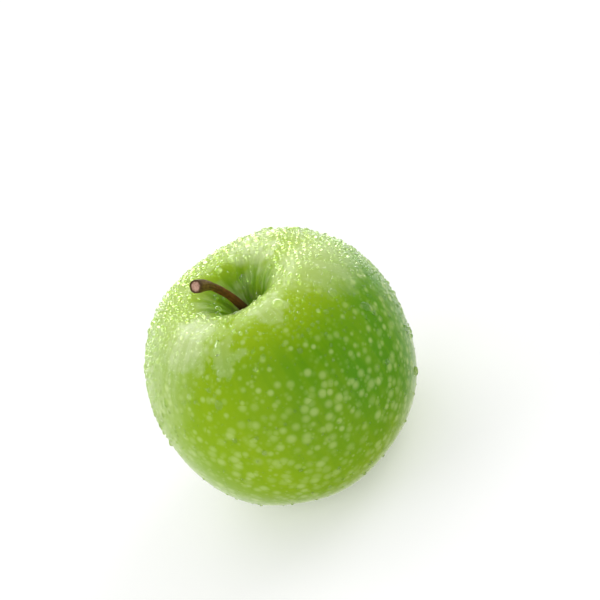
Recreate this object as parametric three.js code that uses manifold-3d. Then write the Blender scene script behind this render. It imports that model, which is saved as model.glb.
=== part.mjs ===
// A green apple with its stem and its dried calyx, standing on the lobes of its base.
// Millimetres, +Z up along the core. The origin is on the resting plane, under the middle of the fruit's box.
import * as THREE from "three";
import { mergeVertices } from "three/addons/utils/BufferGeometryUtils.js";
import Module from "manifold-3d";

const wasm = await Module();
wasm.setup();

const { degToRad, clamp } = THREE.MathUtils;

// ---------------------------------------------------------------- driving dimensions
const CLEARANCE = 0.35; // between one piece and its neighbour

const fruitSize = {
  diameter: 78, // across the widest ring
  height: 66, // from the resting plane to the crest of the shoulder
  beltHeight: 34.4, // of the widest ring
  crestRadius: 17.5, // of the ring along the top of the shoulder
  cavityDepth: 17, // of the stem cavity, below the crest
  baseRadius: 15.5, // of the ring that the lobes rest on
  basinDepth: 8, // of the calyx basin, above the resting plane
  footSink: 0.4, // how much of each lobe is flattened where the fruit rests
};

const fullness = 0.553; // of the fruit's sides: 0.552 is an ellipse, and more is squarer
const oval = { share: 0.019, turn: degToRad(52) }; // no apple is quite round

const lobes = {
  count: 5,
  atBase: 0.012, // how far they swell the fruit, as a share of its radius
  atBelt: 0.003,
  atCrest: 0.004,
  footLift: 0.8, // of the hollows between the lobes, above the resting plane
  crestDip: 0.4, // of the crest between its high places
  turn: degToRad(-90), // direction of the first lobe
};

const stemSize = {
  baseDiameter: 3.0, // where it leaves the flesh
  neckDiameter: 2.3, // at its thinnest
  endDiameter: 3.9, // of the flared end, where it came off the spur
  rooted: 3.2, // length inside its pit
};
// The stem's line above the cavity floor, from the core: it rises straight and then bows over.
const stemLine = [
  [0, 0, 0],
  [-0.2, 0, 4],
  [-2.2, -0.2, 12.4],
  [-4.4, -1.6, 18.2],
  [-6.8, -4.9, 23.3],
  [-9.6, -8.4, 26.8],
];

const calyx = {
  tubeRadius: 3.8, // of the little funnel that the sepals stand round
  tubeDepth: 4.6,
  sepalThickness: 0.5,
  sepalGap: 1.4, // between two neighbours, across their widest
  sepalLean: degToRad(16), // outward from straight down, at the root
  sepalCurl: degToRad(24), // further outward, by the tip
  tipHeight: 1, // of the sepals' tips, above the resting plane
  discHeight: 1, // of each disc that filaments hang from
  filamentDiameter: 0.55,
};
const stamens = { count: 12, length: 6.2, splay: degToRad(5) };
const styles = { count: 5, length: 4.6, splay: degToRad(4) };

// ---------------------------------------------------------------- mesh detail
const AROUND = 60;
const STEM_AROUND = 14;
const STEM_STEPS = 22;
const SEPAL_STEPS = { across: 6, along: 10 };
const DISC_AROUND = 16;
const FILAMENT_AROUND = 5;

// ---------------------------------------------------------------- worked out from the above
const beltRadius = fruitSize.diameter / 2;
const cavityFloor = fruitSize.height - fruitSize.cavityDepth;
const pitRadius = stemSize.baseDiameter / 2 + CLEARANCE;
const pitFloor = cavityFloor - stemSize.rooted;
const tubeTop = fruitSize.basinDepth + calyx.tubeDepth;
const tubeRoofRadius = calyx.tubeRadius * 0.8; // the funnel narrows upwards

const smooth = (t) => t * t * (3 - 2 * t);
const mix = (a, b, t) => a + (b - a) * t;
const share = (v, low, high) => clamp((v - low) / (high - low), 0, 1);

// ---------------------------------------------------------------- the fruit
// Half of its section, from the core at the calyx to the core at the stem.
// Each stretch is a cubic curve's four points and its number of steps.
function fruitSection() {
  const { height, beltHeight, crestRadius, cavityDepth, baseRadius, basinDepth } = fruitSize;
  const v = (r, z) => new THREE.Vector2(r, z);
  const stretches = [
    // the basin, down to the ring that the fruit rests on
    [v(calyx.tubeRadius, basinDepth), v(calyx.tubeRadius + 2.4, basinDepth * 0.8),
      v(baseRadius * 0.66, 0), v(baseRadius, 0), 8],
    // out and up to the belt
    [v(baseRadius, 0), v(mix(baseRadius, beltRadius, fullness), 0),
      v(beltRadius, beltHeight * (1 - fullness)), v(beltRadius, beltHeight), 12],
    // in and up to the crest of the shoulder
    [v(beltRadius, beltHeight), v(beltRadius, mix(beltHeight, height, fullness)),
      v(mix(crestRadius, beltRadius, fullness), height), v(crestRadius, height), 12],
    // down into the stem cavity
    [v(crestRadius, height), v(crestRadius * 0.5, height),
      v(pitRadius + 1.8, cavityFloor + cavityDepth * 0.38), v(pitRadius, cavityFloor), 10],
  ];
  const section = [v(0, tubeTop), v(tubeRoofRadius, tubeTop), v(calyx.tubeRadius, basinDepth)];
  for (const [a, b, c, d, steps] of stretches)
    section.push(...new THREE.CubicBezierCurve(a, b, c, d).getPoints(steps).slice(1));
  // the pit that the stem stands in
  section.push(v(pitRadius, pitFloor), v(0, pitFloor));
  return section;
}

// The lobes swell the fruit all the way up, most at the base, and leave the tube and the pit round.
function swell(x, y, z) {
  const { height, beltHeight, baseRadius, basinDepth } = fruitSize;
  const r = Math.hypot(x, y);
  const around = Math.atan2(y, x);
  const wave = Math.cos(lobes.count * (around - lobes.turn));
  const strength =
    z < beltHeight
      ? mix(lobes.atBase, lobes.atBelt, smooth(share(z, 0, beltHeight)))
      : mix(lobes.atBelt, lobes.atCrest, smooth(share(z, beltHeight, height)));
  const reach = smooth(share(r, calyx.tubeRadius, baseRadius));
  const grown = r * (1 + reach * (strength * wave + oval.share * Math.cos(2 * (around - oval.turn))));
  const hollow = (1 - wave) / 2; // 0 along a lobe and 1 between two
  const low = 1 - smooth(share(z, 0, basinDepth * 1.5));
  const high = smooth(share(z, cavityFloor, height));
  const lift = reach * hollow * (low * lobes.footLift - high * lobes.crestDip);
  return [grown * Math.cos(around), grown * Math.sin(around), z + lift];
}

function fruitGeometry() {
  const geometry = new THREE.LatheGeometry(fruitSection(), AROUND).rotateX(Math.PI / 2);
  const p = geometry.attributes.position;
  for (let i = 0; i < p.count; i++) {
    const [x, y, z] = swell(p.getX(i), p.getY(i), p.getZ(i));
    p.setXYZ(i, x, y, Math.max(z - fruitSize.footSink, 0)); // each lobe ends in a small flat
  }
  return geometry;
}

// ---------------------------------------------------------------- the stem
// Its radius along its length, t from 0 at the root to 1 at the flared end.
function stemRadius(t) {
  const { baseDiameter, neckDiameter, endDiameter } = stemSize;
  const waist = mix(baseDiameter, neckDiameter, smooth(share(t, 0.15, 0.5)));
  return mix(waist, endDiameter, smooth(share(t, 0.72, 0.97))) / 2;
}

// Turned straight, then bent along its line.
function stemGeometry() {
  const root = pitFloor + CLEARANCE - fruitSize.footSink;
  const line = new THREE.CatmullRomCurve3(
    stemLine.map(([x, y, z]) => new THREE.Vector3(x, y, root + z + (z > 0 ? stemSize.rooted : 0))),
    false,
    "centripetal",
  );
  const frames = line.computeFrenetFrames(STEM_STEPS, false);
  const profile = [new THREE.Vector2(0, 0)];
  for (let step = 0; step <= STEM_STEPS; step++)
    profile.push(new THREE.Vector2(stemRadius(step / STEM_STEPS), step));
  profile.push(new THREE.Vector2(0, STEM_STEPS));
  const geometry = new THREE.LatheGeometry(profile, STEM_AROUND);
  const p = geometry.attributes.position;
  const at = new THREE.Vector3();
  for (let i = 0; i < p.count; i++) {
    const step = Math.round(p.getY(i));
    line.getPointAt(step / STEM_STEPS, at);
    at.addScaledVector(frames.normals[step], p.getX(i)).addScaledVector(frames.binormals[step], -p.getZ(i));
    p.setXYZ(i, at.x, at.y, at.z);
  }
  return geometry;
}

// ---------------------------------------------------------------- the calyx
const SEPALS = lobes.count;
const tubeRim = fruitSize.basinDepth - fruitSize.footSink;
const tubeRoof = tubeTop - fruitSize.footSink;
const sepalRoot = tubeRim - CLEARANCE - calyx.sepalThickness;
const sepalLength = (sepalRoot - calyx.tipHeight) / Math.cos(calyx.sepalLean + calyx.sepalCurl);
const sepalWidth = 2 * calyx.tubeRadius * Math.tan(Math.PI / SEPALS) - calyx.sepalGap;

// A narrow pointed leaf, hanging from its root at the origin down -Z, cupped, and curling towards +X.
function sepalGeometry() {
  const { sepalThickness, sepalLean, sepalCurl } = calyx;
  const { across, along } = SEPAL_STEPS;
  const geometry = new THREE.BoxGeometry(sepalThickness, sepalWidth, sepalLength, 1, across, along);
  const p = geometry.attributes.position;
  for (let i = 0; i < p.count; i++) {
    const t = share(-p.getZ(i), -sepalLength / 2, sepalLength / 2); // 0 at the root, 1 at the tip
    const width = 0.1 + 0.9 * Math.sin(Math.PI * mix(0.3, 1, t)) ** 0.8;
    const side = p.getY(i) * width;
    const cup = (side * side) / sepalWidth;
    const out = p.getX(i) * mix(1, 0.6, t) - cup;
    const turn = sepalLean + sepalCurl * t * t;
    const down = sepalLength * t;
    const [sin, cos] = [Math.sin(turn), Math.cos(turn)];
    p.setXYZ(i, down * sin + out * cos, side, out * sin - down * cos);
  }
  return geometry;
}

function solidOf(geometry) {
  for (const name of ["normal", "uv"]) geometry.deleteAttribute(name);
  const merged = mergeVertices(geometry);
  return new wasm.Manifold(new wasm.Mesh({
    numProp: 3,
    vertProperties: merged.attributes.position.array,
    triVerts: new Uint32Array(merged.index.array),
  }));
}

function geometryOf(solid) {
  const { vertProperties, triVerts } = solid.getMesh();
  return new THREE.BufferGeometry()
    .setAttribute("position", new THREE.BufferAttribute(vertProperties, 3))
    .setIndex(new THREE.BufferAttribute(triVerts, 1));
}

// Dried filaments that hang round the rim of one small disc, splayed evenly round the core.
function tuftGeometry({ count, length, splay }, discRadius, discTop) {
  const { discHeight, filamentDiameter } = calyx;
  const disc = new THREE.CylinderGeometry(discRadius, discRadius, discHeight, DISC_AROUND)
    .rotateX(Math.PI / 2)
    .translate(0, 0, discTop - discHeight / 2);
  const thick = filamentDiameter / 2;
  let whole = solidOf(disc);
  for (let i = 0; i < count; i++) {
    const filament = new THREE.CylinderGeometry(thick, thick * 0.75, length, FILAMENT_AROUND)
      .rotateX(Math.PI / 2)
      .translate(0, 0, -length / 2)
      .rotateY(-splay)
      .translate(discRadius - thick, 0, discTop - discHeight * 0.4)
      .rotateZ((2 * Math.PI * i) / count);
    whole = whole.add(solidOf(filament));
  }
  return geometryOf(whole);
}

// ---------------------------------------------------------------- the pieces
const looks = {
  skin: new THREE.MeshStandardMaterial({ color: 0x7fae22, roughness: 0.3, metalness: 0 }),
  bark: new THREE.MeshStandardMaterial({ color: 0x5b3a1c, roughness: 0.75, metalness: 0 }),
  driedLeaf: new THREE.MeshStandardMaterial({ color: 0x6b5a35, roughness: 0.85, metalness: 0 }),
  driedThread: new THREE.MeshStandardMaterial({ color: 0x3e2c18, roughness: 0.9, metalness: 0 }),
};

function piece(name, geometry, look) {
  const mesh = new THREE.Mesh(geometry, look);
  mesh.name = name;
  return mesh;
}

const apple = new THREE.Group();
const fruit = piece("fruit", fruitGeometry(), looks.skin);
apple.add(fruit, piece("stem", stemGeometry(), looks.bark));

// The sepals stand round the tube, between the lobes.
for (let i = 0; i < SEPALS; i++) {
  const sepal = piece(`sepal_${i + 1}`, sepalGeometry(), looks.driedLeaf);
  sepal.position.set(calyx.tubeRadius, 0, sepalRoot);
  const spoke = new THREE.Group();
  spoke.rotation.z = lobes.turn + (2 * Math.PI * (i + 0.5)) / SEPALS;
  spoke.add(sepal);
  apple.add(spoke);
}

// The stamens fill the tube's roof, and the styles hang from a smaller disc below theirs.
const stamenDisc = tubeRoofRadius - CLEARANCE;
const styleDisc = stamenDisc * 0.4;
const stamenTop = tubeRoof - CLEARANCE;
const styleTop = stamenTop - calyx.discHeight - CLEARANCE;
apple.add(
  piece("dried_stamens", tuftGeometry(stamens, stamenDisc, stamenTop), looks.driedThread),
  piece("dried_styles", tuftGeometry(styles, styleDisc, styleTop), looks.driedThread),
);

// The origin goes under the middle of the fruit's box.
fruit.geometry.computeBoundingBox();
const middle = fruit.geometry.boundingBox.getCenter(new THREE.Vector3());
apple.position.set(-middle.x, -middle.y, 0);

export default apple;
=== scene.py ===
"""A green apple, wet with drops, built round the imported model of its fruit, stem and dried calyx."""

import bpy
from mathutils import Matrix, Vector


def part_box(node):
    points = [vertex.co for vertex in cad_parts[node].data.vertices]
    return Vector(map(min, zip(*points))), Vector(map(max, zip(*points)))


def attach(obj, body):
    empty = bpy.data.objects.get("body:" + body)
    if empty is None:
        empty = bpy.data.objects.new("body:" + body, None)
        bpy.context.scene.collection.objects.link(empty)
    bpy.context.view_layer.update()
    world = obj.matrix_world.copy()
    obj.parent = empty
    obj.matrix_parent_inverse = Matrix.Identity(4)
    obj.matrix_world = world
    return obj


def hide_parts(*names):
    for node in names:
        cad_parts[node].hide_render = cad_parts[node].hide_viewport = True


bl_info = {
    "name": "Green Apple",
    "version": (1, 0),
    "blender": (4, 5, 0),
    "location": "View3D > Sidebar > Apple",
    "description": "Builds the skin, stem, calyx and water drops of a green apple, and its studio",
    "category": "Add Mesh",
}

import itertools
import math
import random

import bpy
import numpy as np
from bpy.props import (
    FloatProperty,
    FloatVectorProperty,
    IntProperty,
    PointerProperty,
)
from bpy.types import NodeSocket, Operator, Panel, PropertyGroup
from mathutils import Matrix, Vector, geometry, noise
from mathutils.bvhtree import BVHTree

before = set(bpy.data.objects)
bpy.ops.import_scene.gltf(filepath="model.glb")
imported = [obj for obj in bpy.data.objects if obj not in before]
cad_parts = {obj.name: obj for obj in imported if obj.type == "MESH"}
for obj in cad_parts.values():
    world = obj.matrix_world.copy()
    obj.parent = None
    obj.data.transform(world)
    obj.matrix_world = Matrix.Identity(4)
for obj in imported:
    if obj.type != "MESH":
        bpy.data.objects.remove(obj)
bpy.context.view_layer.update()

MM = 0.001
FRUIT_LOW, FRUIT_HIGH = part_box("fruit")
TUFT_LOW, TUFT_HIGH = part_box("dried_stamens")
# The core stands where the dried stamens do, which is a little off the middle of the fruit's box.
CORE = Vector(((TUFT_LOW.x + TUFT_HIGH.x) / 2, (TUFT_LOW.y + TUFT_HIGH.y) / 2, 0))
SEPAL_COUNT = 5
WET_SIDE = Vector((0.03, 0.74, 0.67)).normalized()  # where most of the spray fell


# ---------------------------------------------------------------- sizes and colours
def length(name, description, default, low=0.0, high=1.0):
    return FloatProperty(
        name=name, description=description, default=default, min=low, max=high,
        subtype="DISTANCE", unit="LENGTH", precision=5,
    )


def angle(name, description, degrees):
    return FloatProperty(
        name=name, description=description, default=math.radians(degrees),
        subtype="ANGLE", unit="ROTATION",
    )


def amount(name, description, default, low=0.0, high=1.0):
    return FloatProperty(name=name, description=description, default=default, min=low, max=high)


def count(name, description, default, low=1, high=10000):
    return IntProperty(name=name, description=description, default=default, min=low, max=high)


def color(name, description, default):
    return FloatVectorProperty(
        name=name, description=description, default=default, size=3, min=0.0, max=1.0, subtype="COLOR",
    )


class AppleFruit(PropertyGroup):
    """The fruit's section and the way it swells into lobes."""

    belt_height: length("Belt height", "Height of the widest ring", 34 * MM)
    crest_radius: length("Crest radius", "Radius of the ring along the top of the shoulder", 17.5 * MM)
    cavity_depth: length("Cavity depth", "Depth of the stem cavity below the crest", 17 * MM)
    base_radius: length("Base radius", "Radius of the ring that the lobes rest on", 15.5 * MM)
    basin_depth: length("Basin depth", "Depth of the calyx basin above the resting plane", 7.6 * MM)
    tube_radius: length("Tube radius", "Radius of the funnel inside the calyx", 3.8 * MM)
    tube_depth: length("Tube depth", "Depth of the funnel inside the calyx", 4.6 * MM)
    pit_radius: length("Pit radius", "Radius of the pit that the stem stands in", 1.72 * MM)
    pit_depth: length("Pit depth", "Depth of the pit that the stem stands in", 3.2 * MM)
    fullness: amount("Fullness", "0.552 makes the sides elliptic, and more makes them squarer", 0.553)
    lobe_turn: angle("Lobe turn", "Direction of the first lobe", -90)
    around: count("Steps around", "Mesh steps around the fruit", 400)


class AppleSkin(PropertyGroup):
    """The skin's colours, the size of its pale spots, and how strong each marking is."""

    green: color("Green", "The skin over most of the fruit", (0.092, 0.285, 0.0006))
    # in the stem cavity this darker green is painted shade
    deep: color("Deep green", "The darker patches and the stem cavity", (0.056, 0.205, 0.0006))
    # on the sunny side and at the top this yellow is painted light
    yellow: color("Yellow-green", "The paler patches, the base and the sunny side", (0.34, 0.49, 0.001))
    spot: color("Spots", "The lenticels", (0.50, 0.64, 0.20))
    # painted sheen: the whitish colour of reflected light on the wet skin
    painted_sheen: color("Bloom", "The thin white wax", (0.78, 0.85, 0.62))
    spot_spacing: length("Spot spacing", "Between one lenticel and the next", 3.4 * MM)
    spot_radius: length("Spot radius", "Of the largest lenticels", 2.1 * MM)
    rust: color("Rust", "The russet round the stem and in the basin", (0.20, 0.17, 0.075))
    cloud_strength: amount("Cloud strength", "How far the clouds turn yellow-green", 0.2)
    line_strength: amount("Line strength", "How far the lines from pole to pole turn yellow-green", 0.12)
    spot_strength: amount("Spot strength", "How pale the lenticels are", 0.55)
    rust_strength: amount("Rust strength", "How brown the russet is", 0.6)
    # how strong the painted sheen of reflected light is at its brightest
    painted_sheen_strength: amount("Bloom strength", "How white the bloom is at its thickest", 0.42)


class AppleStem(PropertyGroup):
    """The stem's thickness and colours."""

    base: length("Base diameter", "Where the stem leaves the flesh", 3.0 * MM)
    neck: length("Neck diameter", "At its thinnest", 2.3 * MM)
    end: length("End diameter", "Of the flared end", 3.9 * MM)
    dark: color("Dark bark", "In the furrows and at the foot", (0.05, 0.022, 0.008))
    red: color("Red bark", "Along the middle", (0.20, 0.075, 0.012))
    olive: color("Olive bark", "Near the flared end", (0.19, 0.115, 0.015))
    cut: color("Cut face", "The broken end", (0.55, 0.34, 0.25))
    pith: color("Pith", "The pores of the broken end", (0.26, 0.11, 0.07))


class AppleCalyx(PropertyGroup):
    """The dried sepals and filaments under the fruit."""

    leaf: color("Dried leaf", "The sepals", (0.16, 0.10, 0.045))
    down: color("Down", "The pale woolly hairs on the sepals", (0.42, 0.38, 0.27))
    thread: color("Dried thread", "The stamens and styles", (0.055, 0.026, 0.010))


class AppleDrops(PropertyGroup):
    """How many drops lie on the skin, and the seed of their places."""

    fine: count("Fine drops", "How many drops of mist", 3100)
    middling: count("Middling drops", "How many drops of the next size", 1900)
    seed: count("Seed", "Starts the random places", 11)


class AppleStage(PropertyGroup):
    """Where the camera stands, how it leans and what it looks at."""

    distance: length("Distance", "From the apple's middle to the camera", 0.6, high=10)
    elevation: angle("Elevation", "Of the camera above the floor", 33)
    roll: angle("Roll", "How far the camera leans, so that the apple leans the other way", 30)
    aim_right: angle("Aim right", "How far to the right of the apple the camera looks", 0.485)
    aim_up: angle("Aim up", "How far above the apple the camera looks", 1.887)
    lens: FloatProperty(
        name="Lens", description="Focal length in millimetres", default=124, min=1, unit="CAMERA",
    )


# ---------------------------------------------------------------- modelling helpers
def smooth(t):
    """From 0 to 1 with a soft start and end, as t goes from 0 to 1."""
    t = min(max(t, 0.0), 1.0)
    return t * t * (3 - 2 * t)


def share(value, low, high):
    """How far the value is on its way from low to high, from 0 to 1."""
    return min(max((value - low) / (high - low), 0.0), 1.0)


def mix(a, b, t):
    """A number between a and b: a where t is 0, and b where it is 1."""
    return a + (b - a) * t


def band(value, start, full, fade, end):
    """1 from full to fade, and falling off softly to 0 at the start and at the end."""
    return smooth(share(value, start, full)) * (1 - smooth(share(value, fade, end)))


def hump(value, middle, width):
    """1 at the middle, and falling off to 0 within about twice the width."""
    return math.exp(-(((value - middle) / width) ** 2))


def select_none():
    """Nothing is selected or in edit mode, so that the next operator acts on the new piece alone."""
    if bpy.context.object and bpy.context.object.mode != "OBJECT":
        bpy.ops.object.mode_set(mode="OBJECT")
    bpy.ops.object.select_all(action="DESELECT")


def started(name):
    """The primitive that was just added, named and in edit mode."""
    piece = bpy.context.object
    piece.name = piece.data.name = name
    bpy.ops.object.mode_set(mode="EDIT")
    bpy.ops.mesh.select_all(action="SELECT")
    return piece


def apply_modifiers(piece):
    """Makes every modifier of the piece part of its mesh, in their order."""
    bpy.ops.object.select_all(action="DESELECT")
    piece.select_set(True)
    bpy.context.view_layer.objects.active = piece
    for modifier in list(piece.modifiers):
        bpy.ops.object.modifier_apply(modifier=modifier.name)


def reshape(piece, function):
    """Moves every vertex to where the function puts it."""
    for v in piece.data.vertices:
        v.co = function(v.co)
    piece.data.update()


def finish_piece(piece, material, stands_for=()):
    """The piece sits at the origin, with its place in its mesh, and rides on the only body."""
    select_none()
    piece.select_set(True)
    bpy.context.view_layer.objects.active = piece
    bpy.ops.object.transform_apply(location=True, rotation=True, scale=True)
    bpy.ops.object.shade_smooth()
    piece.data.materials.clear()
    piece.data.materials.append(material)
    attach(piece, "root")
    if stands_for:
        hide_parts(*stands_for)
    return piece


# ---------------------------------------------------------------- node helpers
def add_node(tree, kind, inputs=None, **settings):
    """A node with its settings. Each input, by name or number, is a value or another node's socket."""
    made = tree.nodes.new("ShaderNode" + kind)
    for key, value in settings.items():
        setattr(made, key, value)
    for key, value in (inputs or {}).items():
        if isinstance(value, NodeSocket):
            tree.links.new(value, made.inputs[key])
        else:
            made.inputs[key].default_value = value
    return made


def calculate(tree, operation, a, b=0.0, c=0.0, clamp=False):
    made = add_node(tree, "Math", {0: a, 1: b, 2: c}, operation=operation, use_clamp=clamp)
    return made.outputs[0]


def dot(tree, vector, direction):
    """How far the vector points that way: 1 is straight along the direction, and -1 is straight away."""
    made = add_node(tree, "VectorMath", {0: vector, 1: tuple(direction)}, operation="DOT_PRODUCT")
    return made.outputs["Value"]


def ramp(tree, value, low, high, to_low=0.0, to_high=1.0):
    """Goes smoothly from to_low to to_high as the value goes from low to high."""
    made = add_node(
        tree, "MapRange",
        {"Value": value, "From Min": low, "From Max": high, "To Min": to_low, "To Max": to_high},
        interpolation_type="SMOOTHSTEP",
    )
    return made.outputs["Result"]


def blend_colors(tree, factor, a, b):
    def full(value):
        return value if isinstance(value, NodeSocket) else (*value, 1.0)

    made = add_node(tree, "Mix", {0: factor, 6: full(a), 7: full(b)}, data_type="RGBA")
    return made.outputs[2]


def turbulence(tree, vector, scale, detail=3.0, roughness=0.5):
    made = add_node(
        tree, "TexNoise", {"Vector": vector, "Scale": scale, "Detail": detail, "Roughness": roughness},
    )
    return made.outputs["Fac"]


def new_group(name, inputs, outputs):
    """An empty node group with its sockets, its input node's outputs and its output node."""
    tree = bpy.data.node_groups.new(name, "ShaderNodeTree")
    for socket, kind, default in inputs:
        made = tree.interface.new_socket(name=socket, in_out="INPUT", socket_type=kind)
        if default is not None:
            made.default_value = default
    for socket, kind in outputs:
        tree.interface.new_socket(name=socket, in_out="OUTPUT", socket_type=kind)
    return tree, tree.nodes.new("NodeGroupInput").outputs, tree.nodes.new("NodeGroupOutput").inputs


def pattern(tree, name, vector, **inputs):
    """The output of the named node group, with its vector and its other inputs set or linked."""
    made = add_node(tree, "Group", {"Vector": vector, **inputs}, node_tree=bpy.data.node_groups[name])
    return made.outputs[0]


FLOAT, VECTOR = "NodeSocketFloat", "NodeSocketVector"


def spots_group():
    """Soft round spots, each of its own size, scattered through space."""
    tree, into, out = new_group(
        "Spots",
        [
            ("Vector", VECTOR, None),
            ("Spacing", FLOAT, 3 * MM),
            ("Radius", FLOAT, 1 * MM),
            ("Softness", FLOAT, 0.6),
        ],
        [("Mask", FLOAT)],
    )
    scale = calculate(tree, "DIVIDE", 1.0, into["Spacing"])
    cells = add_node(tree, "TexVoronoi", {"Vector": into["Vector"], "Scale": scale}, feature="F1")
    away = calculate(tree, "MULTIPLY", cells.outputs["Distance"], into["Spacing"])
    own = add_node(tree, "SeparateColor", {"Color": cells.outputs["Color"]})
    reach = calculate(tree, "MULTIPLY", into["Radius"], ramp(tree, own.outputs[0], 0.0, 1.0, 0.6, 1.0))
    core = calculate(tree, "MULTIPLY", reach, calculate(tree, "SUBTRACT", 1.0, into["Softness"]))
    strength = ramp(tree, own.outputs[1], 0.0, 1.0, 0.45, 1.0)
    tree.links.new(calculate(tree, "MULTIPLY", ramp(tree, away, reach, core), strength), out["Mask"])


def streaks_group():
    """Streaks that run from pole to pole round the vertical through the vector's origin."""
    tree, into, out = new_group(
        "Streaks",
        [
            ("Vector", VECTOR, None),
            ("Around", FLOAT, 9.0),
            ("Along", FLOAT, 40.0),
            ("Low", FLOAT, 0.5),
            ("High", FLOAT, 0.7),
        ],
        [("Mask", FLOAT)],
    )
    at = add_node(tree, "SeparateXYZ", {0: into["Vector"]}).outputs
    squares = [calculate(tree, "MULTIPLY", at[i], at[i]) for i in (0, 1)]
    radius = calculate(tree, "SQRT", calculate(tree, "ADD", *squares))
    radius = calculate(tree, "MAXIMUM", radius, 0.1 * MM)
    circle = [calculate(tree, "DIVIDE", at[i], radius) for i in (0, 1)]
    spin = [calculate(tree, "MULTIPLY", side, into["Around"]) for side in circle]
    up = calculate(tree, "MULTIPLY", calculate(tree, "ADD", at[2], radius), into["Along"])
    place = add_node(tree, "CombineXYZ", {0: spin[0], 1: spin[1], 2: up}).outputs[0]
    tree.links.new(ramp(tree, turbulence(tree, place, 1.0, 2.0), into["Low"], into["High"]), out["Mask"])


def mottle_group():
    """Cloudy patches of one size, from 0 to 1."""
    tree, into, out = new_group(
        "Mottle",
        [("Vector", VECTOR, None), ("Size", FLOAT, 10 * MM), ("Contrast", FLOAT, 0.2)],
        [("Mask", FLOAT)],
    )
    cloud = turbulence(tree, into["Vector"], calculate(tree, "DIVIDE", 1.0, into["Size"]), 2.0)
    low = calculate(tree, "SUBTRACT", 0.5, into["Contrast"])
    high = calculate(tree, "ADD", 0.5, into["Contrast"])
    tree.links.new(ramp(tree, cloud, low, high), out["Mask"])


def fibres_group():
    """Fine furrows along the vector's Z, as a height from 0 to 1."""
    tree, into, out = new_group(
        "Fibres",
        [("Vector", VECTOR, None), ("Across", FLOAT, 5.0), ("Along", FLOAT, 1.0)],
        [("Height", FLOAT)],
    )
    sides = {0: into["Across"], 1: into["Across"], 2: into["Along"]}
    stretch = add_node(tree, "CombineXYZ", sides).outputs[0]
    place = add_node(tree, "VectorMath", {0: into["Vector"], 1: stretch}, operation="MULTIPLY").outputs[0]
    tree.links.new(turbulence(tree, place, 1.0, 4.0, 0.6), out["Height"])


def new_material(name, shader_inputs):
    """A material with one Principled shader, its constants set on the shader's own sockets."""
    material = bpy.data.materials.new(name)
    material.use_nodes = True
    tree = material.node_tree
    shader = tree.nodes["Principled BSDF"]
    for key, value in shader_inputs.items():
        shader.inputs[key].default_value = value
    return material, tree, shader


def object_place(tree, centre=(0, 0, 0)):
    """Object coordinates measured from a centre."""
    coordinates = add_node(tree, "TexCoord").outputs["Object"]
    inputs = {"Vector": coordinates, "Location": tuple(-c for c in centre)}
    return add_node(tree, "Mapping", inputs, vector_type="POINT").outputs[0]


def bump(tree, height, distance, strength=1.0, normal=None):
    inputs = {"Height": height, "Distance": distance, "Strength": strength}
    if normal:
        inputs["Normal"] = normal
    return add_node(tree, "Bump", inputs).outputs[0]


# ---------------------------------------------------------------- the fruit
FOOT_SINK = 0.4 * MM  # how much of each lobe is flattened where the fruit rests
LOBE_AT_BASE, LOBE_AT_BELT, LOBE_AT_CREST = 0.012, 0.003, 0.004  # shares of the radius
OVAL, OVAL_TURN = 0.019, math.radians(52)
FOOT_LIFT, CREST_DIP = 0.8 * MM, 0.4 * MM
# Ridges round the core: each ring of them has its height, its seed, and its waves as (count, share).
CAVITY_RIDGES = (0.34 * MM, 3, ((7, 0.6), (11, 0.5), (17, 0.35), (26, 0.2)))
CAVITY_WAVES = (0.16 * MM, 4, ((5, 0.7), (9, 0.5), (14, 0.3)))
CALYX_PUCKERS = (0.45 * MM, 5, ((5, 0.5), (10, 0.6), (15, 0.35), (21, 0.2)))
# The distances from the core between which those of the cavity and those of the calyx stand.
CAVITY_WALL = (2 * MM, 6 * MM, 10 * MM, 20 * MM)
CALYX_WALL = (4.2 * MM, 6.5 * MM, 9 * MM, 15 * MM)
# The unevenness of the whole skin: how high it is, and how many times a metre it changes.
UNEVENNESS = ((0.22 * MM, 55), (0.05 * MM, 190))


def fruit_outline(fruit):
    """Half of the fruit's section as (radius, height), from the calyx round to the stem."""
    belt = (FRUIT_HIGH.x - FRUIT_LOW.x + FRUIT_HIGH.y - FRUIT_LOW.y) / 4
    rest, middle, top = FRUIT_LOW.z - FOOT_SINK, fruit.belt_height, FRUIT_HIGH.z
    base, crest, full = fruit.base_radius, fruit.crest_radius, fruit.fullness
    tube, basin = fruit.tube_radius, fruit.basin_depth
    roof, throat, lip = basin + fruit.tube_depth, tube * 0.95, tube + 0.9 * MM
    in_throat, on_lip = basin + 0.8 * MM, basin - 0.25 * MM
    cavity, pit = fruit.cavity_depth, fruit.pit_radius
    floor = top - cavity
    foot = floor - fruit.pit_depth
    # each stretch is a curve with its four corners, and its number of steps
    stretches = (
        ((0, roof), (tube * 0.5, roof), (tube * 0.86, basin + tube * 0.9), (throat, in_throat), 14),
        ((throat, in_throat), (tube, basin), (tube, basin), (lip, on_lip), 6),
        ((lip, on_lip), (tube + 3 * MM, basin * 0.8), (base * 0.66, rest), (base, rest), 26),
        ((base, rest), (mix(base, belt, full), rest), (belt, mix(middle, rest, full)), (belt, middle), 56),
        ((belt, middle), (belt, mix(middle, top, full)), (mix(crest, belt, full), top), (crest, top), 56),
        ((crest, top), (crest * 0.5, top), (pit + 1.8 * MM, floor + cavity * 0.38), (pit, floor), 46),
        ((pit, floor), (pit - 0.15 * MM, floor - 1 * MM), (pit, floor - 2 * MM), (pit, foot), 6),
    )
    points = [Vector((0, 0, roof))]
    for a, b, c, d, steps in stretches:
        bend = [Vector((r, 0, z)) for r, z in (a, b, c, d)]
        points.extend(geometry.interpolate_bezier(*bend, steps + 1)[1:])
    points.append(Vector((0, 0, foot)))
    return points


def folds(around, height, seed, waves):
    """How high irregular ridges round the core stand: each wave has its own count, share and start."""
    rng = random.Random(seed)
    total = 0.0
    for number, size in waves:
        total += size * math.sin(number * around + rng.uniform(0, math.tau))
    return height * total


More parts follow.
